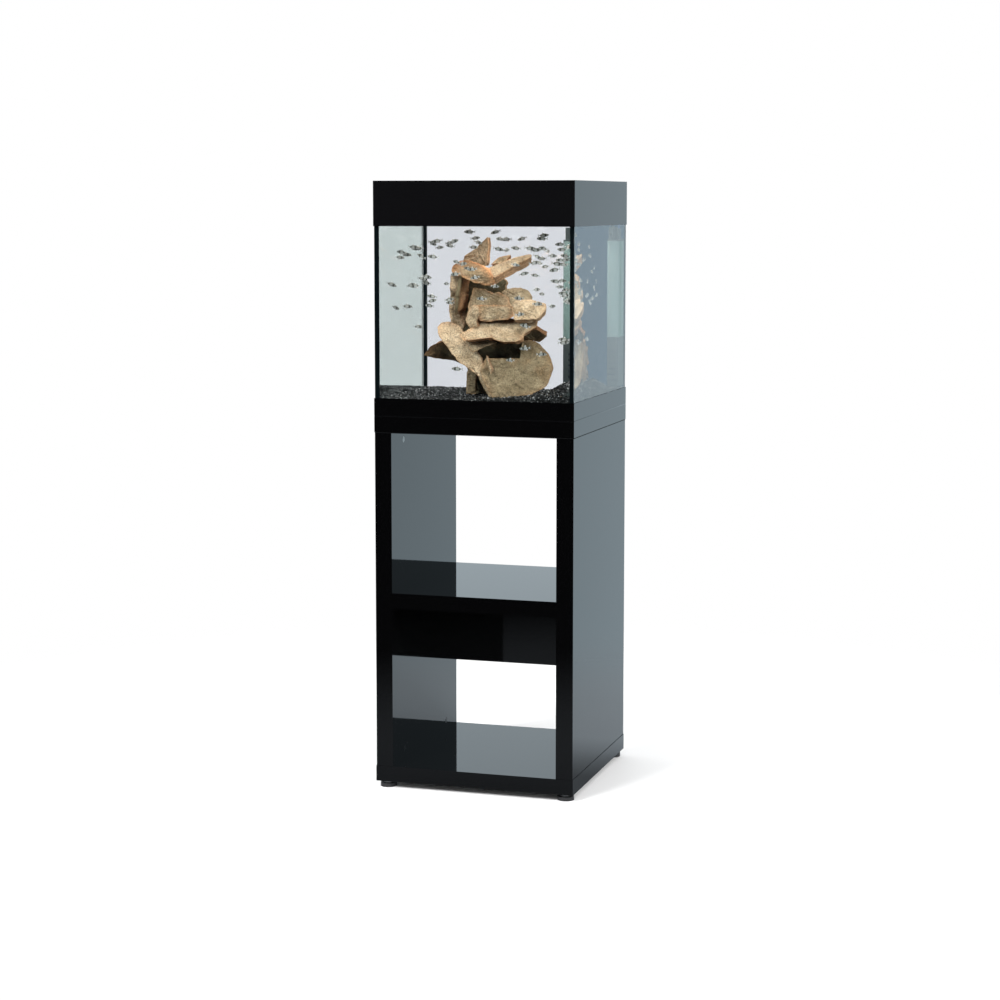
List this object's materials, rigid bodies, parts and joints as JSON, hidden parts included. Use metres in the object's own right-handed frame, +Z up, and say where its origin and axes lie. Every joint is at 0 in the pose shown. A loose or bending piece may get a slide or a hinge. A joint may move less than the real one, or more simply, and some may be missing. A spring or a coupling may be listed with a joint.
{
  "type": "aquarium on stand",
  "caption": "Cube glass aquarium with black base frame, lift-off lit hood, stone stack and corner filter, on an open gloss-black cabinet stand with one shelf and levelling feet.",
  "frame": {"origin": "on the floor at the centre of the footprint", "axes": "+Z up, -Y the front (tank's front pane and the open side of the stand), +X to the right"},
  "size_m": [0.5, 0.5, 1.48],
  "materials": {
    "gloss_black_board": "high gloss lacquer",
    "cam_steel": "zinc plated",
    "beech_dowel": "raw",
    "foot_steel": "zinc plated",
    "foot_plastic": "moulded",
    "foam": "closed-cell foam",
    "gloss_black_plastic": "glossy",
    "tank_glass": "polished float glass",
    "silicone": "black silicone",
    "gravel": "wet basalt grains",
    "sandstone": "rough layered stone",
    "filter_black": "moulded",
    "sponge": "open-cell foam",
    "clear_plastic": "clear acrylic",
    "rubber_cup": "translucent",
    "ceramic_pin": "polished",
    "impeller_plastic": "moulded",
    "heater_glass": "glass tube",
    "lamp_aluminium": "anodised",
    "circuit_board": "white solder mask",
    "led_yellow": "phosphor",
    "lens": "frosted",
    "steel_pin": "polished"
  },
  "bodies": {
    "stand_and_tank": {"base_slab": "gloss_black_board", "left_side_panel": "gloss_black_board", "right_side_panel": "gloss_black_board", "middle_shelf": "gloss_black_board", "rear_panel": "gloss_black_board", "top_slab": "gloss_black_board", "cam_discs": "cam_steel", "cam_bolts": "cam_steel", "wood_dowels": "beech_dowel", "insert_nuts": "cam_steel", "foam_mat": "foam", "tank_base_frame": "gloss_black_plastic", "bottom_glass": "tank_glass", "front_glass": "tank_glass", "rear_glass": "tank_glass", "left_glass": "tank_glass", "right_glass": "tank_glass", "floor_seam": "silicone", "corner_seams": "silicone", "gravel_bed": "gravel", "rock_base": "sandstone", "rock_crown": "sandstone", "filter_basket": "filter_black", "filter_sponge": "sponge", "filter_chamber": "clear_plastic", "chamber_lid": "filter_black", "suction_cups": "rubber_cup", "pump_body": "filter_black", "impeller_shaft": "ceramic_pin", "pump_cover": "filter_black", "heater_tube": "heater_glass", "heater_cap": "filter_black"},
    "foot_front_left": {"foot_screw_front_left": "foot_steel", "foot_pad_front_left": "foot_plastic"},
    "foot_front_right": {"foot_screw_front_right": "foot_steel", "foot_pad_front_right": "foot_plastic"},
    "foot_rear_left": {"foot_screw_rear_left": "foot_steel", "foot_pad_rear_left": "foot_plastic"},
    "foot_rear_right": {"foot_screw_rear_right": "foot_steel", "foot_pad_rear_right": "foot_plastic"},
    "impeller": {"impeller": "impeller_plastic"},
    "nozzle": {"outlet_nozzle": "filter_black"},
    "flow_dial": {"flow_dial": "filter_black"},
    "heater_dial": {"heater_dial": "impeller_plastic"},
    "hood": {"hood_frame": "gloss_black_plastic", "flap_pins": "steel_pin", "lamp_housing": "lamp_aluminium", "led_board": "circuit_board", "led_chips": "led_yellow", "lamp_lens": "lens", "lamp_end_caps": "gloss_black_plastic", "lamp_screws": "steel_pin"},
    "front_flap": {"front_flap": "gloss_black_plastic"},
    "rear_cover": {"rear_cover": "gloss_black_plastic"}
  },
  "joints": [
    {"name": "foot_screw_front_left", "type": "slide", "parent": "stand_and_tank", "child": "foot_front_left", "axis": [0, 0, -1], "range_m": [0, 0.012]},
    {"name": "foot_screw_front_right", "type": "slide", "parent": "stand_and_tank", "child": "foot_front_right", "axis": [0, 0, -1], "range_m": [0, 0.012]},
    {"name": "foot_screw_rear_left", "type": "slide", "parent": "stand_and_tank", "child": "foot_rear_left", "axis": [0, 0, -1], "range_m": [0, 0.012]},
    {"name": "foot_screw_rear_right", "type": "slide", "parent": "stand_and_tank", "child": "foot_rear_right", "axis": [0, 0, -1], "range_m": [0, 0.012]},
    {"name": "hood_lift", "type": "slide", "parent": "stand_and_tank", "child": "hood", "axis": [0, 0, 1], "range_m": [0, 0.12]},
    {"name": "flap_hinge", "type": "hinge", "parent": "hood", "child": "front_flap", "pos_m": [0, 0.02, 1.4755], "axis": [-1, 0, 0], "range_deg": [0, 95]},
    {"name": "cover_lift", "type": "slide", "parent": "hood", "child": "rear_cover", "axis": [0, 0, 1], "range_m": [0, 0.06]},
    {"name": "impeller_spin", "type": "hinge", "parent": "stand_and_tank", "child": "impeller", "pos_m": [0.16025, 0.20925, 1.348], "axis": [0, 0, 1], "continuous": true},
    {"name": "nozzle_swivel", "type": "hinge", "parent": "stand_and_tank", "child": "nozzle", "pos_m": [0.16025, 0.20925, 1.366], "axis": [0, 0, 1], "range_deg": [-60, 60]},
    {"name": "flow_dial_turn", "type": "hinge", "parent": "stand_and_tank", "child": "flow_dial", "pos_m": [0.16025, 0.18725, 1.347], "axis": [0, -1, 0], "range_deg": [0, 90]},
    {"name": "heater_dial_turn", "type": "hinge", "parent": "stand_and_tank", "child": "heater_dial", "pos_m": [0.21825, 0.20925, 1.363], "axis": [0, 0, 1], "range_deg": [0, 270]}
  ]
}
